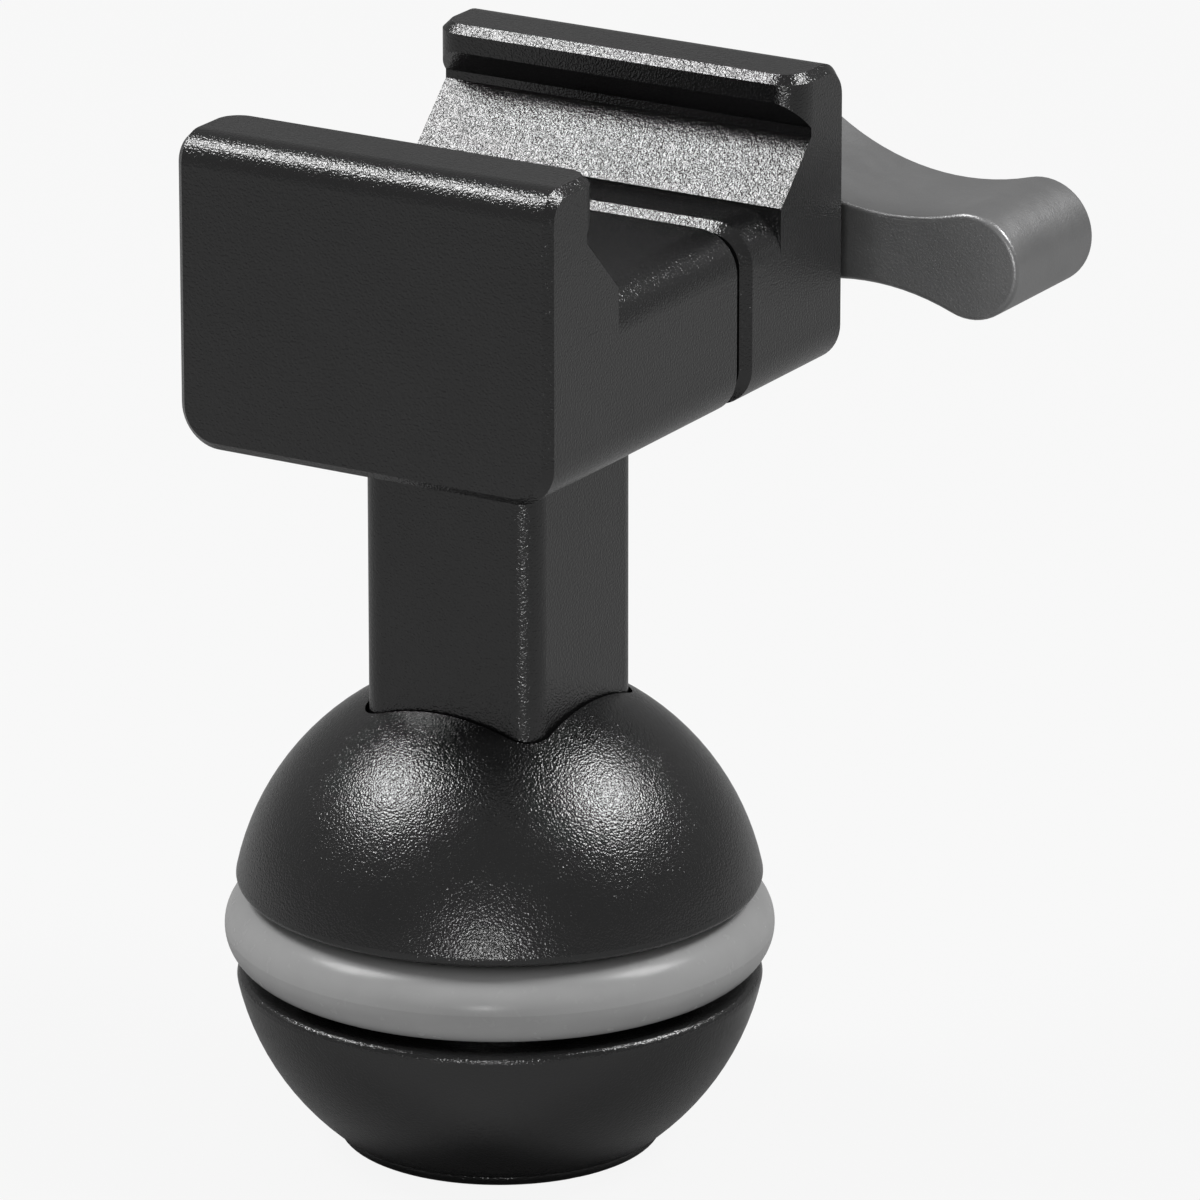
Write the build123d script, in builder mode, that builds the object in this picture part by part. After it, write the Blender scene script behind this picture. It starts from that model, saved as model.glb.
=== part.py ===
from build123d import *
import os
from math import cos, radians, sin, sqrt

# Ball head clamp, in millimetres: a one-inch ball on a square post carries a clamp for a 21 mm rail.
# The origin is the middle of the flat foot under the ball. +Z runs up the post, +X along the rail,
# and +Y from the fixed jaw through the moving jaw to the lever.

# Clearances that several pieces share
cut_overrun = 1.0
running_gap = 0.06
thread_gap = 0.04
seat_gap = 0.02
hex_sides = 6

# Ball and its foot
ball_diameter = 25.4
ball_flat_diameter = 15.6
foot_diameter = 15.4
foot_height = 0.565
foot_edge_radius = 0.45
ball_web = 3.0

# Rubber grip ring and its groove
ring_cord_diameter = 3.6
ring_outer_diameter = 26.0
groove_side_play = 0.34
groove_rim_radius = 0.4

# Bolt that holds the ball on the post, with its lock washer
bolt_diameter = 4.0
bolt_length = 12.0
bolt_head_diameter = 7.0
bolt_head_height = 4.0
bolt_head_chamfer = 0.4
bolt_recess = 0.6
bolt_key_width = 3.0
bolt_key_depth = 2.0
bolt_bore_gap = 0.25
lock_washer_thickness = 0.9
lock_washer_diameter = 6.8
lock_washer_slit = 0.8

# Square post
post_width = 9.5
post_corner_radius = 1.2
post_length = 28.33
post_socket_gap = 0.2
post_recess_depth = 1.1
post_recess_gap = 0.05
post_end_chamfer = 0.3

# Countersunk screws from the channel floor into the post
post_screw_diameter = 2.5
post_screw_head_diameter = 4.6
post_screw_length = 13.0
post_screw_spacing = 5.0
post_screw_setback = 2.6
post_screw_key_width = 1.5
post_screw_key_depth = 0.9
countersink_angle = 90

# Clamp block and jaws
clamp_length = 20.0
block_height = 8.87
block_corner_radius = 2.0
body_front_reach = 11.93
body_rear_reach = 5.3
seam_gap = 0.53
seam_chamfer = 0.45
jaw_block_depth = 9.15
jaw_height = 6.05
jaw_wall = 3.27
flank_foot_height = 0.2
flank_rise = 2.8
relief_height = 0.42
lip_overhang = 1.35
lip_corner_radius = 1.5
edge_chamfer = 0.4
front_top_radius = 1.45
back_top_radius = 1.7

# Guide screws that carry the moving jaw, and the springs on them
jaw_opening_travel = 2.1
guide_stop_play = 0.3
guide_edge_distance = 2.9
guide_diameter = 3.0
guide_web = 2.0
guide_thread_diameter = 2.5
guide_thread_length = 4.0
guide_head_diameter = 4.0
guide_head_height = 2.0
guide_head_chamfer = 0.25
guide_head_gap = 0.25
guide_key_width = 2.0
guide_key_depth = 1.1
spring_wire = 0.4
spring_guide_gap = 0.15
spring_pocket_gap = 0.25
spring_end_gap = 0.05
body_spring_pocket = 3.0
jaw_spring_pocket = 2.0
jaw_spring_turns = 5

# Clamp screw, its thread insert, clip and thrust washer
screw_axis_height = 5.87
screw_diameter = 4.0
screw_engagement = 4.0
screw_tip_chamfer = 0.5
screw_jaw_gap = 0.2
insert_diameter = 5.0
insert_length = 5.0
clip_diameter = 5.6
clip_thickness = 0.5
clip_groove_depth = 0.5
clip_play = 0.05
clip_recess_depth = 1.2
clip_recess_gap = 0.2
thrust_washer_diameter = 8.0
thrust_washer_thickness = 0.8
collar_diameter = 7.6
collar_thickness = 0.65
drive_hex_width = 5.0
drive_hex_length = 1.5
journal_diameter = 4.2

# Lever with its lift spring and retaining screw
lever_length = 15.85
lever_hub_radius = 5.5
lever_tip_radius = 2.6
lever_waist_radius = 12.5
lever_thickness = 7.55
lever_edge_radius = 0.25
lever_rest_angle = 2.46
lever_web = 1.8
lever_screw_diameter = 2.5
lever_screw_thread_length = 3.6
lever_screw_head_diameter = 6.6
lever_screw_head_height = 1.4
lever_screw_head_chamfer = 0.35
lever_screw_recess = 0.2
lever_screw_key_width = 2.0
lever_screw_key_depth = 0.8
lever_bore_gap = 0.35
lever_spring_turns = 2

# Heights, from the foot upwards
ball_radius = ball_diameter / 2
foot_radius = foot_diameter / 2
ball_centre_z = foot_height + sqrt(ball_radius**2 - (ball_flat_diameter / 2) ** 2)
bolt_seat_z = bolt_recess + bolt_head_height + lock_washer_thickness
post_foot_z = bolt_seat_z + ball_web
post_top_z = post_foot_z + post_length
clamp_bottom_z = post_top_z - post_recess_depth
block_centre_z = clamp_bottom_z + block_height / 2
floor_z = clamp_bottom_z + block_height
flank_foot_z = floor_z + flank_foot_height
apex_low_z = flank_foot_z + flank_rise
apex_high_z = apex_low_z + relief_height
jaw_top_z = floor_z + jaw_height
screw_axis_z = clamp_bottom_z + screw_axis_height

# Depths, from the front of the fixed jaw to the back of the lever
body_front_y = -body_front_reach
body_rear_y = body_rear_reach
jaw_front_y = body_rear_y + seam_gap
jaw_back_y = jaw_front_y + jaw_block_depth
fixed_apex_y = body_front_y + jaw_wall
moving_apex_y = jaw_back_y - jaw_wall
collar_y = jaw_back_y + thrust_washer_thickness
lever_front_y = collar_y + collar_thickness
lever_back_y = lever_front_y + lever_thickness
lever_web_y = lever_front_y + drive_hex_length
lever_seat_y = lever_web_y + lever_web
stud_end_y = lever_back_y - lever_screw_recess - lever_screw_head_height
guide_shoulder_y = body_rear_y - body_spring_pocket
guide_web_y = jaw_front_y + jaw_spring_pocket
guide_stop_y = guide_web_y + guide_web
guide_head_y = guide_stop_y + jaw_opening_travel + guide_stop_play
clip_y = jaw_front_y + clip_recess_depth - clip_play - clip_thickness


def upright(y, x=0):
    """Plane across the clamp at depth y, on the screw's level, x to one side, seen from the front."""
    return Plane.XZ.offset(-y).shift_origin((x, y, screw_axis_z))


def lever_plane(y):
    """Plane at depth y on the screw's axis, turned with the lever so that its X runs along the arm."""
    tilt = radians(lever_rest_angle)
    return Plane(origin=(0, y, screw_axis_z), x_dir=(cos(tilt), 0, -sin(tilt)), z_dir=(0, -1, 0))


def save(piece, name):
    """Label a finished piece and write it under that name."""
    piece.part.label = name
    export_step(piece.part, f"parts/{name}.step")


def make_jaw(outer_y, apex_y, inward):
    """Flank, relief and lip of one jaw above the block; inward is +1 or -1 along Y."""
    skirt_z = floor_z - block_corner_radius
    foot_y = apex_y + inward * flank_rise
    lip_y = apex_y + inward * lip_overhang
    past_lip_y = lip_y + inward * cut_overrun
    with BuildPart() as jaw:
        with BuildSketch(Plane.YZ.offset(-clamp_length / 2)):
            with BuildLine():
                Polyline(
                    (outer_y, skirt_z),
                    (outer_y, apex_high_z),
                    (apex_y, apex_high_z),
                    (apex_y, apex_low_z),
                    (foot_y, flank_foot_z),
                    (foot_y, skirt_z),
                    close=True,
                )
            make_face()
        extrude(amount=clamp_length)
        with BuildSketch(Plane.XY.offset(apex_high_z)) as lip_plan:
            with Locations((0, (outer_y + lip_y) / 2)):
                Rectangle(clamp_length, abs(lip_y - outer_y))
            lip_corners = lip_plan.vertices().group_by(Axis.Y)[-1 if inward > 0 else 0]
            fillet(lip_corners, radius=lip_corner_radius)
        extrude(amount=jaw_top_z - apex_high_z)
        with BuildSketch(Plane.YZ.offset(-clamp_length / 2 - cut_overrun)):
            with BuildLine():
                Polyline(
                    (apex_y, apex_high_z),
                    (past_lip_y, apex_high_z + lip_overhang + cut_overrun),
                    (past_lip_y, apex_high_z),
                    close=True,
                )
            make_face()
        extrude(amount=clamp_length + 2 * cut_overrun, mode=Mode.SUBTRACT)
    return jaw.part


def make_coil(x, start_y, end_y, inner_radius, turns):
    """Round-wire coil along Y between two seats."""
    seat_room = spring_end_gap + spring_wire / 2
    height = end_y - start_y - 2 * seat_room
    pitch = height / turns
    with BuildPart() as coil:
        with BuildLine() as turns_line:
            Helix(
                pitch=pitch,
                height=height,
                radius=inner_radius + spring_wire / 2,
                center=(x, start_y + seat_room, screw_axis_z),
                direction=(0, 1, 0),
            )
        with BuildSketch(Plane(origin=turns_line.line @ 0, z_dir=turns_line.line % 0)):
            Circle(spring_wire / 2)
        sweep(path=turns_line.line, is_frenet=True)
    print(f"coil gap {pitch - spring_wire:.2f} mm over {turns} turns")
    return coil


os.makedirs("parts", exist_ok=True)

# Ball: turned sphere with a flat foot, a ring groove at its middle and a square socket for the post
ring_mean_radius = (ring_outer_diameter - ring_cord_diameter) / 2
groove_floor_radius = ring_mean_radius - ring_cord_diameter / 2 - seat_gap
groove_width = ring_cord_diameter + 2 * groove_side_play
bolt_bore_radius = bolt_diameter / 2 + bolt_bore_gap
bolt_head_bore_radius = bolt_head_diameter / 2 + bolt_bore_gap
with BuildPart() as ball:
    with BuildSketch(Plane.XZ):
        with Locations((0, ball_centre_z)):
            Circle(ball_radius)
        with Locations((0, foot_height)):
            Rectangle(ball_radius, ball_diameter, align=(Align.MIN, Align.MIN), mode=Mode.INTERSECT)
        Rectangle(foot_radius, foot_height, align=(Align.MIN, Align.MIN))
        with Locations((groove_floor_radius, ball_centre_z)):
            Rectangle(ball_radius, groove_width, align=(Align.MIN, Align.CENTER), mode=Mode.SUBTRACT)
    revolve(axis=Axis.Z)
    groove_rims = ball.edges().filter_by(Plane.XY).sort_by(SortBy.RADIUS)[-2:]
    fillet(groove_rims, radius=groove_rim_radius)
    fillet(ball.edges().filter_by(Plane.XY).sort_by(Axis.Z)[0], radius=foot_edge_radius)
    with BuildSketch(Plane.XY.offset(post_foot_z)):
        RectangleRounded(
            post_width + 2 * post_socket_gap,
            post_width + 2 * post_socket_gap,
            post_corner_radius + post_socket_gap,
        )
    extrude(amount=ball_centre_z + ball_radius - post_foot_z + cut_overrun, mode=Mode.SUBTRACT)
    with Locations(-Plane.XY):
        CounterBoreHole(bolt_bore_radius, bolt_head_bore_radius, bolt_seat_z, post_foot_z + cut_overrun)
save(ball, "ball")

# Grip ring: round rubber cord seated on the floor of the groove
with BuildPart() as grip_ring:
    with BuildSketch(Plane.XZ):
        with Locations((ring_mean_radius, ball_centre_z)):
            Circle(ring_cord_diameter / 2)
    revolve(axis=Axis.Z)
save(grip_ring, "grip_ring")

# Lock washer: split spring ring under the bolt's head
with BuildPart() as lock_washer:
    with BuildSketch(Plane.XY.offset(bolt_seat_z - lock_washer_thickness)):
        Circle(lock_washer_diameter / 2)
        Circle(bolt_bore_radius, mode=Mode.SUBTRACT)
        Rectangle(
            lock_washer_diameter,
            lock_washer_slit,
            align=(Align.MIN, Align.CENTER),
            mode=Mode.SUBTRACT,
        )
    extrude(amount=lock_washer_thickness)
save(lock_washer, "lock_washer")

# Ball bolt: socket head bolt from the foot, through the ball, into the end of the post
with BuildPart() as ball_bolt:
    with BuildSketch(Plane.XY.offset(bolt_recess)):
        Circle(bolt_head_diameter / 2)
    extrude(amount=bolt_head_height)
    chamfer(ball_bolt.edges().sort_by(Axis.Z)[0], length=bolt_head_chamfer)
    with BuildSketch(Plane.XY.offset(bolt_recess + bolt_head_height)):
        Circle(bolt_diameter / 2)
    extrude(amount=bolt_length)
    with BuildSketch(Plane.XY.offset(bolt_recess)):
        RegularPolygon(bolt_key_width / 2, hex_sides, major_radius=False)
    extrude(amount=bolt_key_depth, mode=Mode.SUBTRACT)
save(ball_bolt, "ball_bolt")

# Post: square bar with rounded corners, tapped at the foot and twice at the top
bolt_tip_z = bolt_recess + bolt_head_height + bolt_length
post_screw_tip_z = floor_z - post_screw_length
post_screw_places = [(side * post_screw_spacing / 2, -post_screw_setback) for side in (-1, 1)]
with BuildPart() as post:
    with BuildSketch(Plane.XY.offset(post_foot_z)):
        RectangleRounded(post_width, post_width, post_corner_radius)
    extrude(amount=post_length)
    chamfer(post.faces().sort_by(Axis.Z)[0].edges(), length=post_end_chamfer)
    with BuildSketch(Plane.XY.offset(post_foot_z)):
        Circle(bolt_diameter / 2 + thread_gap)
    extrude(amount=bolt_tip_z + cut_overrun - post_foot_z, mode=Mode.SUBTRACT)
    with BuildSketch(Plane.XY.offset(post_top_z)):
        with Locations(*post_screw_places):
            Circle(post_screw_diameter / 2 + thread_gap)
    extrude(amount=-(post_top_z - post_screw_tip_z + cut_overrun), mode=Mode.SUBTRACT)
save(post, "post")

# Clamp body: milled block with the fixed jaw at its front, the channel floor on top and the
# bores for the insert, the guide screws and their springs in its rear face
fixed_jaw = make_jaw(body_front_y, fixed_apex_y, 1)
guide_places = [side * (clamp_length / 2 - guide_edge_distance) for side in (-1, 1)]
spring_inner_radius = guide_diameter / 2 + spring_guide_gap
spring_pocket_radius = spring_inner_radius + spring_wire + spring_pocket_gap
with BuildPart() as clamp_body:
    with BuildSketch(Plane.XZ.offset(-body_rear_y)):
        with Locations((0, block_centre_z)):
            RectangleRounded(clamp_length, block_height, block_corner_radius)
    extrude(amount=body_rear_y - body_front_y)
    add(fixed_jaw)
    fillet(clamp_body.faces().sort_by(Axis.Z)[-1].edges().sort_by(Axis.Y)[0], radius=front_top_radius)
    chamfer(clamp_body.faces().sort_by(Axis.Z)[-1].edges().sort_by(Axis.Y)[-1], length=edge_chamfer)
    chamfer(clamp_body.faces().sort_by(Axis.Y)[-1].outer_wire().edges(), length=seam_chamfer)
    with BuildSketch(Plane.XY.offset(clamp_bottom_z)):
        RectangleRounded(
            post_width + 2 * post_recess_gap,
            post_width + 2 * post_recess_gap,
            post_corner_radius + post_recess_gap,
        )
    extrude(amount=post_recess_depth, mode=Mode.SUBTRACT)
    with Locations(*[(x, y, floor_z) for x, y in post_screw_places]):
        CounterSinkHole(
            post_screw_diameter / 2 + thread_gap,
            post_screw_head_diameter / 2 + thread_gap,
            floor_z - post_top_z + cut_overrun,
            countersink_angle,
        )
    with BuildSketch(upright(body_rear_y)):
        Circle(insert_diameter / 2)
    extrude(amount=insert_length, mode=Mode.SUBTRACT)
    for guide_x in guide_places:
        with BuildSketch(upright(body_rear_y, guide_x)):
            Circle(spring_pocket_radius)
        extrude(amount=body_spring_pocket, mode=Mode.SUBTRACT)
        with BuildSketch(upright(guide_shoulder_y, guide_x)):
            Circle(guide_thread_diameter / 2 + thread_gap)
        extrude(amount=guide_thread_length + cut_overrun, mode=Mode.SUBTRACT)
save(clamp_body, "clamp_body")

# Post screws: countersunk heads flush with the channel floor
head_depth = (post_screw_head_diameter - post_screw_diameter) / 2
for side, (screw_x, screw_y) in zip(("left", "right"), post_screw_places):
    with BuildPart() as post_screw:
        with BuildSketch(Plane.XY.offset(floor_z).shift_origin((screw_x, screw_y, floor_z))):
            Circle(post_screw_head_diameter / 2)
        extrude(amount=-head_depth, taper=countersink_angle / 2)
        with BuildSketch(Plane.XY.offset(floor_z).shift_origin((screw_x, screw_y, floor_z))):
            Circle(post_screw_diameter / 2)
        extrude(amount=-post_screw_length)
        with BuildSketch(Plane.XY.offset(floor_z).shift_origin((screw_x, screw_y, floor_z))):
            RegularPolygon(post_screw_key_width / 2, hex_sides, major_radius=False)
        extrude(amount=-post_screw_key_depth, mode=Mode.SUBTRACT)
    save(post_screw, f"post_screw_{side}")

# Thread insert: threaded bush pressed into the body, in which the clamp screw turns
with BuildPart() as thread_insert:
    with BuildSketch(upright(body_rear_y)):
        Circle(insert_diameter / 2)
        Circle(screw_diameter / 2 + thread_gap, mode=Mode.SUBTRACT)
    extrude(amount=insert_length)
save(thread_insert, "thread_insert")

# Guide screws: shoulder screws fixed in the body, on which the moving jaw slides up to their heads
for side, guide_x in zip(("left", "right"), guide_places):
    with BuildPart() as guide_screw:
        with BuildSketch(upright(guide_head_y + guide_head_height, guide_x)):
            Circle(guide_head_diameter / 2)
        extrude(amount=guide_head_height)
        chamfer(guide_screw.edges().sort_by(Axis.Y)[-1], length=guide_head_chamfer)
        with BuildSketch(upright(guide_head_y, guide_x)):
            Circle(guide_diameter / 2)
        extrude(amount=guide_head_y - guide_shoulder_y)
        with BuildSketch(upright(guide_shoulder_y, guide_x)):
            Circle(guide_thread_diameter / 2)
        extrude(amount=guide_thread_length)
        with BuildSketch(upright(guide_head_y + guide_head_height, guide_x)):
            RegularPolygon(guide_key_width / 2, hex_sides, major_radius=False)
        extrude(amount=guide_key_depth, mode=Mode.SUBTRACT)
    save(guide_screw, f"guide_screw_{side}")

    # Jaw spring: coil on the guide screw, pushing the jaw open
    jaw_spring = make_coil(
        guide_x, guide_shoulder_y, guide_web_y, spring_inner_radius, jaw_spring_turns
    )
    save(jaw_spring, f"jaw_spring_{side}")

# Moving jaw: block that slides on the guide screws, with the mirrored jaw on top
sliding_jaw = make_jaw(jaw_back_y, moving_apex_y, -1)
with BuildPart() as moving_jaw:
    with BuildSketch(Plane.XZ.offset(-jaw_back_y)):
        with Locations((0, block_centre_z)):
            RectangleRounded(clamp_length, block_height, block_corner_radius)
    extrude(amount=jaw_block_depth)
    add(sliding_jaw)
    fillet(moving_jaw.faces().sort_by(Axis.Z)[-1].edges().sort_by(Axis.Y)[-1], radius=back_top_radius)
    chamfer(moving_jaw.faces().sort_by(Axis.Z)[-1].edges().sort_by(Axis.Y)[0], length=edge_chamfer)
    chamfer(moving_jaw.faces().sort_by(Axis.Y)[0].outer_wire().edges(), length=seam_chamfer)
    with BuildSketch(upright(jaw_back_y)):
        Circle(screw_diameter / 2 + screw_jaw_gap)
    extrude(amount=jaw_block_depth, mode=Mode.SUBTRACT)
    with BuildSketch(upright(jaw_front_y)):
        Circle(clip_diameter / 2 + clip_recess_gap)
    extrude(amount=-clip_recess_depth, mode=Mode.SUBTRACT)
    for guide_x in guide_places:
        with BuildSketch(upright(jaw_back_y, guide_x)):
            Circle(guide_head_diameter / 2 + guide_head_gap)
        extrude(amount=jaw_back_y - guide_stop_y, mode=Mode.SUBTRACT)
        with BuildSketch(upright(guide_stop_y, guide_x)):
            Circle(guide_diameter / 2 + running_gap)
        extrude(amount=guide_web, mode=Mode.SUBTRACT)
        with BuildSketch(upright(guide_web_y, guide_x)):
            Circle(spring_pocket_radius)
        extrude(amount=jaw_spring_pocket, mode=Mode.SUBTRACT)
save(moving_jaw, "moving_jaw")

# Thrust washer: flat ring on the back of the moving jaw, under the screw's collar
with BuildPart() as thrust_washer:
    with BuildSketch(upright(collar_y)):
        Circle(thrust_washer_diameter / 2)
        Circle(screw_diameter / 2 + screw_jaw_gap, mode=Mode.SUBTRACT)
    extrude(amount=thrust_washer_thickness)
save(thrust_washer, "thrust_washer")

# Clamp screw: threaded shank, thrust collar, drive hexagon and journal for the lever
screw_tip_y = body_rear_y - screw_engagement
with BuildPart() as clamp_screw:
    with BuildSketch(upright(collar_y)):
        Circle(screw_diameter / 2)
    extrude(amount=collar_y - screw_tip_y)
    chamfer(clamp_screw.edges().sort_by(Axis.Y)[0], length=screw_tip_chamfer)
    with BuildSketch(upright(lever_front_y)):
        Circle(collar_diameter / 2)
    extrude(amount=collar_thickness)
    with BuildSketch(lever_plane(lever_web_y)):
        RegularPolygon(drive_hex_width / 2, hex_sides, major_radius=False)
    extrude(amount=drive_hex_length)
    with BuildSketch(upright(stud_end_y)):
        Circle(journal_diameter / 2)
    extrude(amount=stud_end_y - lever_web_y)
    with BuildSketch(upright(stud_end_y)):
        Circle(lever_screw_diameter / 2 + thread_gap)
    extrude(amount=lever_screw_thread_length + cut_overrun, mode=Mode.SUBTRACT)
    with BuildSketch(upright(clip_y + clip_thickness + clip_play)):
        Circle(screw_diameter / 2 + cut_overrun)
        Circle(screw_diameter / 2 - clip_groove_depth, mode=Mode.SUBTRACT)
    extrude(amount=clip_thickness + 2 * clip_play, mode=Mode.SUBTRACT)
save(clamp_screw, "clamp_screw")

# Screw clip: open ring in the screw's groove that makes the jaw follow the screw outwards
with BuildPart() as screw_clip:
    with BuildSketch(upright(clip_y + clip_thickness)):
        Circle(clip_diameter / 2)
        clip_bore_radius = screw_diameter / 2 - clip_groove_depth + seat_gap
        Circle(clip_bore_radius, mode=Mode.SUBTRACT)
        Rectangle(
            2 * clip_bore_radius,
            clip_diameter,
            align=(Align.CENTER, Align.MAX),
            mode=Mode.SUBTRACT,
        )
    extrude(amount=clip_thickness)
save(screw_clip, "screw_clip")

# Lever: flat arm with a round hub and a round tip, joined by one hollow arc on each side. A
# twelve-point socket in the hub fits the drive hexagon and a bore from the back holds the spring
waist_to_hub = lever_waist_radius + lever_hub_radius
waist_to_tip = lever_waist_radius + lever_tip_radius
waist_x = (waist_to_hub**2 - waist_to_tip**2 + lever_length**2) / (2 * lever_length)
waist_y = sqrt(waist_to_hub**2 - waist_x**2)
hub_touch_x = waist_x * lever_hub_radius / waist_to_hub
hub_touch_y = waist_y * lever_hub_radius / waist_to_hub
tip_touch_x = lever_length + (waist_x - lever_length) * lever_tip_radius / waist_to_tip
tip_touch_y = waist_y * lever_tip_radius / waist_to_tip
waist_half_width = waist_y - lever_waist_radius
with BuildPart() as lever:
    with BuildSketch(lever_plane(lever_back_y)):
        with BuildLine():
            ThreePointArc((hub_touch_x, hub_touch_y), (-lever_hub_radius, 0), (hub_touch_x, -hub_touch_y))
            ThreePointArc(
                (hub_touch_x, -hub_touch_y), (waist_x, -waist_half_width), (tip_touch_x, -tip_touch_y)
            )
            ThreePointArc(
                (tip_touch_x, -tip_touch_y), (lever_length + lever_tip_radius, 0), (tip_touch_x, tip_touch_y)
            )
            ThreePointArc((tip_touch_x, tip_touch_y), (waist_x, waist_half_width), (hub_touch_x, hub_touch_y))
        make_face()
    extrude(amount=lever_thickness)
    fillet(lever.faces().filter_by(Axis.Y).edges(), radius=lever_edge_radius)
    with BuildSketch(lever_plane(lever_web_y)):
        for half_step in (0, 180 / hex_sides):
            RegularPolygon(
                drive_hex_width / 2 + running_gap, hex_sides, major_radius=False, rotation=half_step
            )
    extrude(amount=drive_hex_length, mode=Mode.SUBTRACT)
    with BuildSketch(lever_plane(lever_seat_y)):
        Circle(journal_diameter / 2 + running_gap)
    extrude(amount=lever_web, mode=Mode.SUBTRACT)
    with BuildSketch(lever_plane(lever_back_y)):
        Circle(lever_screw_head_diameter / 2 + lever_bore_gap)
    extrude(amount=lever_back_y - lever_seat_y, mode=Mode.SUBTRACT)
save(lever, "lever")

# Lever spring: short coil on the journal that holds the lever down on the hexagon
lever_spring_radius = journal_diameter / 2 + spring_guide_gap
lever_spring = make_coil(0, lever_seat_y, stud_end_y, lever_spring_radius, lever_spring_turns)
save(lever_spring, "lever_spring")

# Lever screw: low round head that keeps the lever and its spring on the stud
with BuildPart() as lever_screw:
    with BuildSketch(upright(stud_end_y + lever_screw_head_height)):
        Circle(lever_screw_head_diameter / 2)
    extrude(amount=lever_screw_head_height)
    chamfer(lever_screw.edges().sort_by(Axis.Y)[-1], length=lever_screw_head_chamfer)
    with BuildSketch(upright(stud_end_y)):
        Circle(lever_screw_diameter / 2)
    extrude(amount=lever_screw_thread_length)
    with BuildSketch(upright(stud_end_y + lever_screw_head_height)):
        RegularPolygon(lever_screw_key_width / 2, hex_sides, major_radius=False)
    extrude(amount=lever_screw_key_depth, mode=Mode.SUBTRACT)
save(lever_screw, "lever_screw")
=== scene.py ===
import math

import bpy
import numpy as np
from mathutils import Matrix, Vector


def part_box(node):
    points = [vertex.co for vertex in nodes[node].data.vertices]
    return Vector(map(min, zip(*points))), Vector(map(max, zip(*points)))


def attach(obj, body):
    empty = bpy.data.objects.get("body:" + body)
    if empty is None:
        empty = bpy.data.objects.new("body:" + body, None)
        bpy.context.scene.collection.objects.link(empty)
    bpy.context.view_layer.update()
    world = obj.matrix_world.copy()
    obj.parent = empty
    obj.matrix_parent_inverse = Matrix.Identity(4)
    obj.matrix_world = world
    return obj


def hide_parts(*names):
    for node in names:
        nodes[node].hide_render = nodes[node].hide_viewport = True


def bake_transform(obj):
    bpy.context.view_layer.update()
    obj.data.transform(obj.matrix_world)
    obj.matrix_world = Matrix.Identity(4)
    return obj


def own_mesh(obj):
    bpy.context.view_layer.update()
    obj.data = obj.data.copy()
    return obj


# Looks of the ball head clamp, in metres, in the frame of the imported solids: the origin is the middle
# of the flat foot, +Z runs up the post, +X along the rail and +Y from the fixed jaw to the lever.
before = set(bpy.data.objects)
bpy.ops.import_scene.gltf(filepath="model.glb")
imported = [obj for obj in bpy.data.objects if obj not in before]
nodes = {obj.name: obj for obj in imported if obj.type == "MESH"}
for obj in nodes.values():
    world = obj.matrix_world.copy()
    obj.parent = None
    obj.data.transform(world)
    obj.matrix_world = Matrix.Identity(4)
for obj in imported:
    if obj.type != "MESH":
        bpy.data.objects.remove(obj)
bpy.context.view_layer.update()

# The ball: a one-inch ball turned from aluminium bar, bead-blasted and then anodised black. The skin is
# even and near black, and its fine grain breaks every highlight into bright specks.
noise_low, noise_high = 0.3, 0.7


def new_finish(title, **constants):
    """A finish with one Principled shader, whose constant values go straight onto its sockets."""
    finish = bpy.data.materials.new(title)
    finish.use_nodes = True
    shader = finish.node_tree.nodes["Principled BSDF"]
    for socket, value in constants.items():
        shader.inputs[socket.replace("_", " ")].default_value = value
    return finish, finish.node_tree, shader


def noise(tree, cell, detail=2.0):
    """Cloudy pattern on the piece's own coordinates, whose patches are about cell metres across."""
    place = tree.nodes.new("ShaderNodeTexCoord")
    pattern = tree.nodes.new("ShaderNodeTexNoise")
    pattern.inputs["Scale"].default_value = 1 / cell
    pattern.inputs["Detail"].default_value = detail
    tree.links.new(place.outputs["Object"], pattern.inputs["Vector"])
    return pattern.outputs["Fac"]


def shade_colour(tree, shader, pattern, dark, light):
    """Base colour that drifts from dark to light with a pattern."""
    ramp = tree.nodes.new("ShaderNodeValToRGB")
    ramp.color_ramp.elements[0].position = noise_low
    ramp.color_ramp.elements[1].position = noise_high
    ramp.color_ramp.elements[0].color = (*dark, 1)
    ramp.color_ramp.elements[1].color = (*light, 1)
    tree.links.new(pattern, ramp.inputs["Fac"])
    tree.links.new(ramp.outputs["Color"], shader.inputs["Base Color"])


def vary_roughness(tree, shader, pattern, low, high):
    """Roughness that drifts from low to high with a pattern."""
    spread = tree.nodes.new("ShaderNodeMapRange")
    spread.inputs["From Min"].default_value = noise_low
    spread.inputs["From Max"].default_value = noise_high
    spread.inputs["To Min"].default_value = low
    spread.inputs["To Max"].default_value = high
    tree.links.new(pattern, spread.inputs["Value"])
    tree.links.new(spread.outputs["Result"], shader.inputs["Roughness"])


def emboss(tree, shader, pattern, height):
    """Bump of a given height from a pattern."""
    bump = tree.nodes.new("ShaderNodeBump")
    bump.inputs["Strength"].default_value = 1.0
    bump.inputs["Distance"].default_value = height
    tree.links.new(pattern, bump.inputs["Height"])
    tree.links.new(bump.outputs["Normal"], shader.inputs["Normal"])


def dress(finish, *names):
    """Give the solids of these names a finish."""
    for name in names:
        nodes[name].data.materials.clear()
        nodes[name].data.materials.append(finish)


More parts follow.
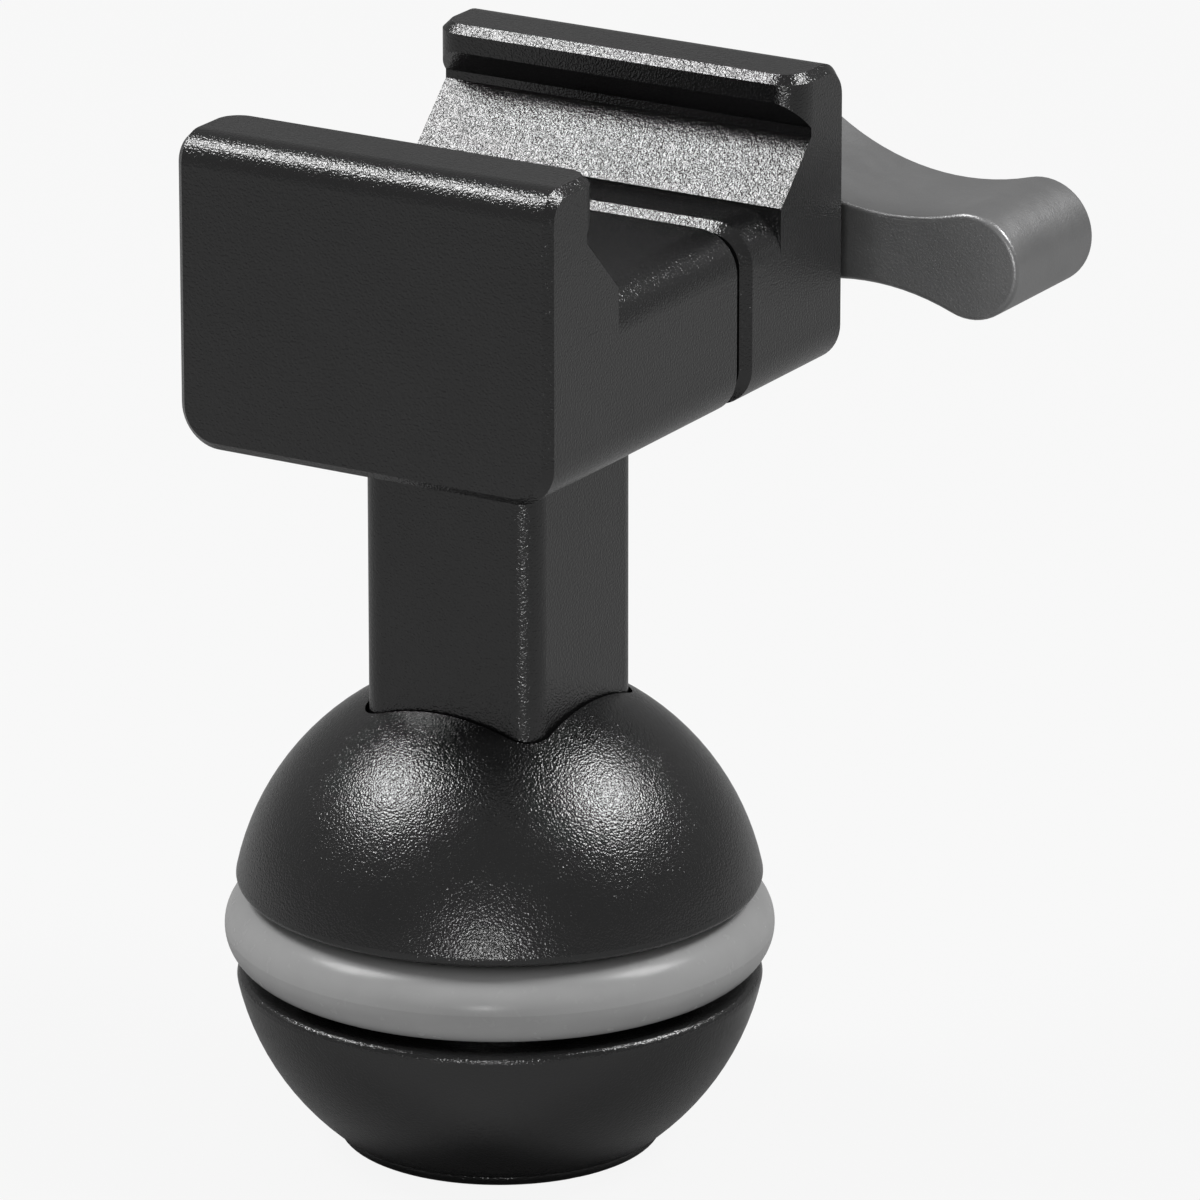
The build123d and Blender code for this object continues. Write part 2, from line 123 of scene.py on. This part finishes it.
soot, slate = (0.005, 0.005, 0.0052), (0.007, 0.007, 0.0072)
blast_cell = 0.00011
black, black_tree, black_shader = new_finish("black_anodised", Specular_IOR_Level=0.82)
black_clouds = noise(black_tree, cell=0.004)
shade_colour(black_tree, black_shader, black_clouds, dark=soot, light=slate)
vary_roughness(black_tree, black_shader, noise(black_tree, cell=0.0008), low=0.19, high=0.22)
emboss(black_tree, black_shader, noise(black_tree, cell=blast_cell, detail=1.0), height=0.000034)
dress(black, "ball")

# The grip ring: a round cord of mid-grey rubber, moulded in one piece and stretched into the ball's
# groove. The mould leaves it smooth, with a soft sheen.
rubber_dark, rubber_light = (0.36, 0.36, 0.36), (0.38, 0.38, 0.38)
rubber, rubber_tree, rubber_shader = new_finish("grip_rubber", Specular_IOR_Level=0.18)
rubber_clouds = noise(rubber_tree, cell=0.002)
shade_colour(rubber_tree, rubber_shader, rubber_clouds, dark=rubber_dark, light=rubber_light)
vary_roughness(rubber_tree, rubber_shader, noise(rubber_tree, cell=0.0006), low=0.22, high=0.28)
emboss(rubber_tree, rubber_shader, noise(rubber_tree, cell=0.00018), height=0.000003)
dress(rubber, "grip_ring")

# The post, the clamp body and the moving jaw: cut from aluminium bar, blasted and anodised in one batch
# with the ball. The post is bolted to the ball and screwed to the body, and the jaw slides on its guides.
dress(black, "post", "clamp_body", "moving_jaw")

# The screws: steel, turned and blackened in an oxide bath, which leaves a thin oily sheen. They hold the
# ball, the post and the lever, guide the jaw, and draw it in.
oxide_dark, oxide_light = (0.054, 0.054, 0.056), (0.07, 0.07, 0.073)
oxide, oxide_tree, oxide_shader = new_finish("black_oxide_steel", Metallic=1.0)
oxide_clouds = noise(oxide_tree, cell=0.0015)
shade_colour(oxide_tree, oxide_shader, oxide_clouds, dark=oxide_dark, light=oxide_light)
vary_roughness(oxide_tree, oxide_shader, noise(oxide_tree, cell=0.0005), low=0.32, high=0.42)
emboss(oxide_tree, oxide_shader, noise(oxide_tree, cell=0.00012), height=0.000003)
dress(oxide, "ball_bolt", "post_screw_left", "post_screw_right", "guide_screw_left", "guide_screw_right")
dress(oxide, "clamp_screw", "lever_screw")

# The thread insert and the thrust washer: turned brass, which runs well against a steel screw. One is
# pressed into the body, the other lies under the screw's collar.
brass_dark, brass_light = (0.54, 0.40, 0.17), (0.66, 0.51, 0.25)
brass, brass_tree, brass_shader = new_finish("brass", Metallic=1.0)
brass_clouds = noise(brass_tree, cell=0.001)
shade_colour(brass_tree, brass_shader, brass_clouds, dark=brass_dark, light=brass_light)
vary_roughness(brass_tree, brass_shader, noise(brass_tree, cell=0.0004), low=0.25, high=0.4)
emboss(brass_tree, brass_shader, noise(brass_tree, cell=0.00015), height=0.000003)
dress(brass, "thread_insert", "thrust_washer")

# The lock washer and the clip: stamped from bright spring steel and hardened. The washer is split and sits
# under the ball bolt's head, and the clip snaps into a groove of the clamp screw.
spring_dark, spring_light = (0.42, 0.42, 0.43), (0.56, 0.56, 0.57)
spring, spring_tree, spring_shader = new_finish("spring_steel", Metallic=1.0)
spring_clouds = noise(spring_tree, cell=0.0006)
shade_colour(spring_tree, spring_shader, spring_clouds, dark=spring_dark, light=spring_light)
vary_roughness(spring_tree, spring_shader, noise(spring_tree, cell=0.0004), low=0.22, high=0.36)
emboss(spring_tree, spring_shader, noise(spring_tree, cell=0.0001), height=0.000002)
dress(spring, "lock_washer", "screw_clip")

# The springs: coils of drawn steel wire. Two sit on the guide screws and push the jaw open, and a short one
# on the clamp screw holds the lever down.
wire_radius = 0.0002
wire_sides = 12
steps_a_turn = 32
jaw_coil_turns = 5
lever_coil_turns = 2


def coil_skin(low, high, turns):
    """Wire wound along Y: the middle line turns about the coil's axis from its top and rises evenly, and
    the skin is one wire radius from it, in the plane through the coil's axis."""
    middle_x, middle_z = (low[0] + high[0]) / 2, (low[2] + high[2]) / 2
    turned = np.linspace(0, 2 * np.pi * turns, turns * steps_a_turn + 1)[:, None]
    around = np.linspace(0, 2 * np.pi, wire_sides, endpoint=False)
    reach = (high[0] - low[0]) / 2 - wire_radius + wire_radius * np.cos(around)
    climb = (high[1] - low[1] - 2 * wire_radius) * turned / turned[-1]
    rise = low[1] + wire_radius + climb + wire_radius * np.sin(around)
    return np.stack([middle_x + reach * np.sin(turned), rise, middle_z + reach * np.cos(turned)], axis=-1)


def wind(title, node, turns):
    """Coil in the place of a packed spring, its wire closed by a flat cut at both ends."""
    low, high = (np.array(corner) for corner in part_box(node))
    skin = coil_skin(low, high, turns)
    ring = np.arange(skin[..., 0].size).reshape(skin.shape[:2])
    beside = np.roll(ring, -1, axis=1)
    sides = np.stack([ring[:-1], ring[1:], beside[1:], beside[:-1]], axis=-1).reshape(-1, 4)
    cuts = [ring[0].tolist(), ring[-1, ::-1].tolist()]
    mesh = bpy.data.meshes.new(title)
    mesh.from_pydata(skin.reshape(-1, 3).tolist(), [], sides.tolist() + cuts)
    mesh.shade_smooth()
    mesh.materials.append(spring)
    coil = bpy.data.objects.new(title, mesh)
    bpy.context.scene.collection.objects.link(coil)
    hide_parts(node)
    return coil, low[1], high[1]


for side in ("left", "right"):
    jaw_coil, head_end, jaw_end = wind(f"jaw_coil_{side}", f"jaw_spring_{side}", jaw_coil_turns)
    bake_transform(jaw_coil)
lever_coil, lever_end, screw_end = wind("lever_coil", "lever_spring", lever_coil_turns)
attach(lever_coil, "screw")
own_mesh(lever_coil)

# The lever: a flat aluminium arm, milled all round, bead-blasted and anodised grey. Its socket sits on the
# screw's hexagon, and a low-headed screw keeps it there.
grey_dark, grey_light = (0.29, 0.29, 0.292), (0.31, 0.31, 0.312)
grey, grey_tree, grey_shader = new_finish("grey_anodised", Metallic=0.75)
grey_clouds = noise(grey_tree, cell=0.003)
shade_colour(grey_tree, grey_shader, grey_clouds, dark=grey_dark, light=grey_light)
vary_roughness(grey_tree, grey_shader, noise(grey_tree, cell=0.0008), low=0.38, high=0.43)
emboss(grey_tree, grey_shader, noise(grey_tree, cell=blast_cell, detail=1.0), height=0.000014)
dress(grey, "lever")

# The floor: a sheet of pale paper just under the foot. It keeps the shadow, and fades into the white
# background where the camera sees it.
floor_half = 1.5
floor_drop = 0.0001
paper_grey = 0.31
paper_roughness = 0.8
paper_white_share = 0.9
floor_spots = np.array([(-1, -1, 0), (1, -1, 0), (1, 1, 0), (-1, 1, 0)]) * floor_half - (0, 0, floor_drop)
floor_mesh = bpy.data.meshes.new("floor")
floor_mesh.from_pydata(floor_spots.tolist(), [], [(0, 1, 2, 3)])
floor = bpy.data.objects.new("floor", floor_mesh)
bpy.context.scene.collection.objects.link(floor)
paper = bpy.data.materials.new("paper")
paper.use_nodes = True
paper_nodes = paper.node_tree.nodes
paper_links = paper.node_tree.links
paper_shader = paper_nodes["Principled BSDF"]
paper_shader.inputs["Base Color"].default_value = (paper_grey, paper_grey, paper_grey, 1)
paper_shader.inputs["Roughness"].default_value = paper_roughness
paper_white = paper_nodes.new("ShaderNodeEmission")
paper_rays = paper_nodes.new("ShaderNodeLightPath")
paper_share = paper_nodes.new("ShaderNodeMath")
paper_share.operation = "MULTIPLY"
paper_share.inputs[1].default_value = paper_white_share
paper_mix = paper_nodes.new("ShaderNodeMixShader")
paper_links.new(paper_rays.outputs["Is Camera Ray"], paper_share.inputs[0])
paper_links.new(paper_share.outputs["Value"], paper_mix.inputs["Fac"])
paper_links.new(paper_shader.outputs["BSDF"], paper_mix.inputs[1])
paper_links.new(paper_white.outputs["Emission"], paper_mix.inputs[2])
paper_links.new(paper_mix.outputs["Shader"], paper_nodes["Material Output"].inputs["Surface"])
floor_mesh.materials.append(paper)

# The surround: white for the camera, for reflections and through glass. On every surface it gives a low
# even fill.
white = (1, 1, 1, 1)
fill_level = 0.25
surround = bpy.data.worlds.new("surround")
bpy.context.scene.world = surround
surround.use_nodes = True
sky_nodes = surround.node_tree.nodes
sky_links = surround.node_tree.links
seen = sky_nodes["Background"]
seen.inputs["Color"].default_value = white
fill = sky_nodes.new("ShaderNodeBackground")
fill.inputs["Color"].default_value = white
fill.inputs["Strength"].default_value = fill_level
rays = sky_nodes.new("ShaderNodeLightPath")
either = sky_nodes.new("ShaderNodeMath")
either.operation = "MAXIMUM"
any_ray = sky_nodes.new("ShaderNodeMath")
any_ray.operation = "MAXIMUM"
sky_mix = sky_nodes.new("ShaderNodeMixShader")
sky_links.new(rays.outputs["Is Camera Ray"], either.inputs[0])
sky_links.new(rays.outputs["Is Glossy Ray"], either.inputs[1])
sky_links.new(either.outputs["Value"], any_ray.inputs[0])
sky_links.new(rays.outputs["Is Transmission Ray"], any_ray.inputs[1])
sky_links.new(any_ray.outputs["Value"], sky_mix.inputs["Fac"])
sky_links.new(fill.outputs["Background"], sky_mix.inputs[1])
sky_links.new(seen.outputs["Background"], sky_mix.inputs[2])
sky_links.new(sky_mix.outputs["Shader"], sky_nodes["World Output"].inputs["Surface"])

# The lamps: three square softboxes. Two stand high to the left and right and make the two highlights on
# the ball, and a small low one in front makes the third.
aim_point = Vector((0, 0, 0.03))
lamp_distance = 0.6


def softbox(title, direction, width, watts):
    """Square lamp behind a diffuser, facing the middle of the object from a direction."""
    lamp = bpy.data.lights.new(title, "AREA")
    lamp.shape = "SQUARE"
    lamp.size = width
    lamp.energy = watts
    box = bpy.data.objects.new(title, lamp)
    bpy.context.scene.collection.objects.link(box)
    away = Vector(direction).normalized()
    box.location = aim_point + away * lamp_distance
    box.rotation_euler = away.to_track_quat("Z", "Y").to_euler()
    box.visible_camera = False


softbox("key", direction=(-0.54, -0.26, 0.80), width=0.2, watts=2.3)
softbox("second", direction=(0.56, 0.33, 0.77), width=0.2, watts=2.4)
softbox("front", direction=(0.42, -0.91, 0.04), width=0.1, watts=0.65)

# The grey tent: a dome of felt over the set, out of the picture and casting no shadow. The black and grey
# pieces mirror it, and so stay dark between the lamps.
tent_radius = 0.9
felt_glow = 0.25
turn_steps, rise_steps = 49, 13


def tent_skin():
    """Half sphere: at each turn about Z and each rise, the radius times cos rise outwards and sin rise up."""
    rise = np.linspace(0, np.pi / 2, rise_steps)[:, None]
    turned = np.linspace(0, 2 * np.pi, turn_steps)
    up = np.sin(rise) + 0 * turned
    return tent_radius * np.stack([np.cos(rise) * np.cos(turned), np.cos(rise) * np.sin(turned), up], axis=-1)


spots = np.arange(rise_steps * turn_steps).reshape(rise_steps, turn_steps)
tent_sides = np.stack([spots[:-1, :-1], spots[1:, :-1], spots[1:, 1:], spots[:-1, 1:]], axis=-1)
tent_mesh = bpy.data.meshes.new("grey_tent")
tent_mesh.from_pydata(tent_skin().reshape(-1, 3).tolist(), [], tent_sides.reshape(-1, 4).tolist())
tent = bpy.data.objects.new("grey_tent", tent_mesh)
bpy.context.scene.collection.objects.link(tent)
felt = bpy.data.materials.new("felt")
felt.use_nodes = True
felt_light = felt.node_tree.nodes.new("ShaderNodeEmission")
felt_light.inputs["Strength"].default_value = felt_glow
felt_surface = felt.node_tree.nodes["Material Output"].inputs["Surface"]
felt.node_tree.links.new(felt_light.outputs["Emission"], felt_surface)
tent_mesh.materials.append(felt)
tent.visible_camera = False
tent.visible_shadow = False
tent.visible_diffuse = False
tent.visible_transmission = False

# The camera: a long lens on a stand half a metre from the clamp, in front of it to the right and a little
# above, as in the photograph. Its three axes point across the picture, up, and back from the object.
azimuth = math.radians(30.825)
elevation = math.radians(18.5292)
stand = Vector((0.2387129, -0.3908034, 0.1799731))
film_width_mm, lens_length_mm = 36, 309.717
nearest, farthest = 0.01, 20
level = math.cos(elevation)
towards = Vector((math.sin(azimuth) * level, -math.cos(azimuth) * level, math.sin(elevation)))
across = Vector((math.cos(azimuth), math.sin(azimuth), 0))
lens = bpy.data.cameras.new("lens")
lens.sensor_width = film_width_mm
lens.lens = lens_length_mm
lens.clip_start = nearest
lens.clip_end = farthest
camera = bpy.data.objects.new("camera", lens)
bpy.context.scene.collection.objects.link(camera)
facing = Matrix((across, towards.cross(across), towards)).transposed()
camera.matrix_world = Matrix.Translation(stand) @ facing.to_4x4()
bpy.context.scene.camera = camera
bpy.context.scene.view_settings.view_transform = "Standard"
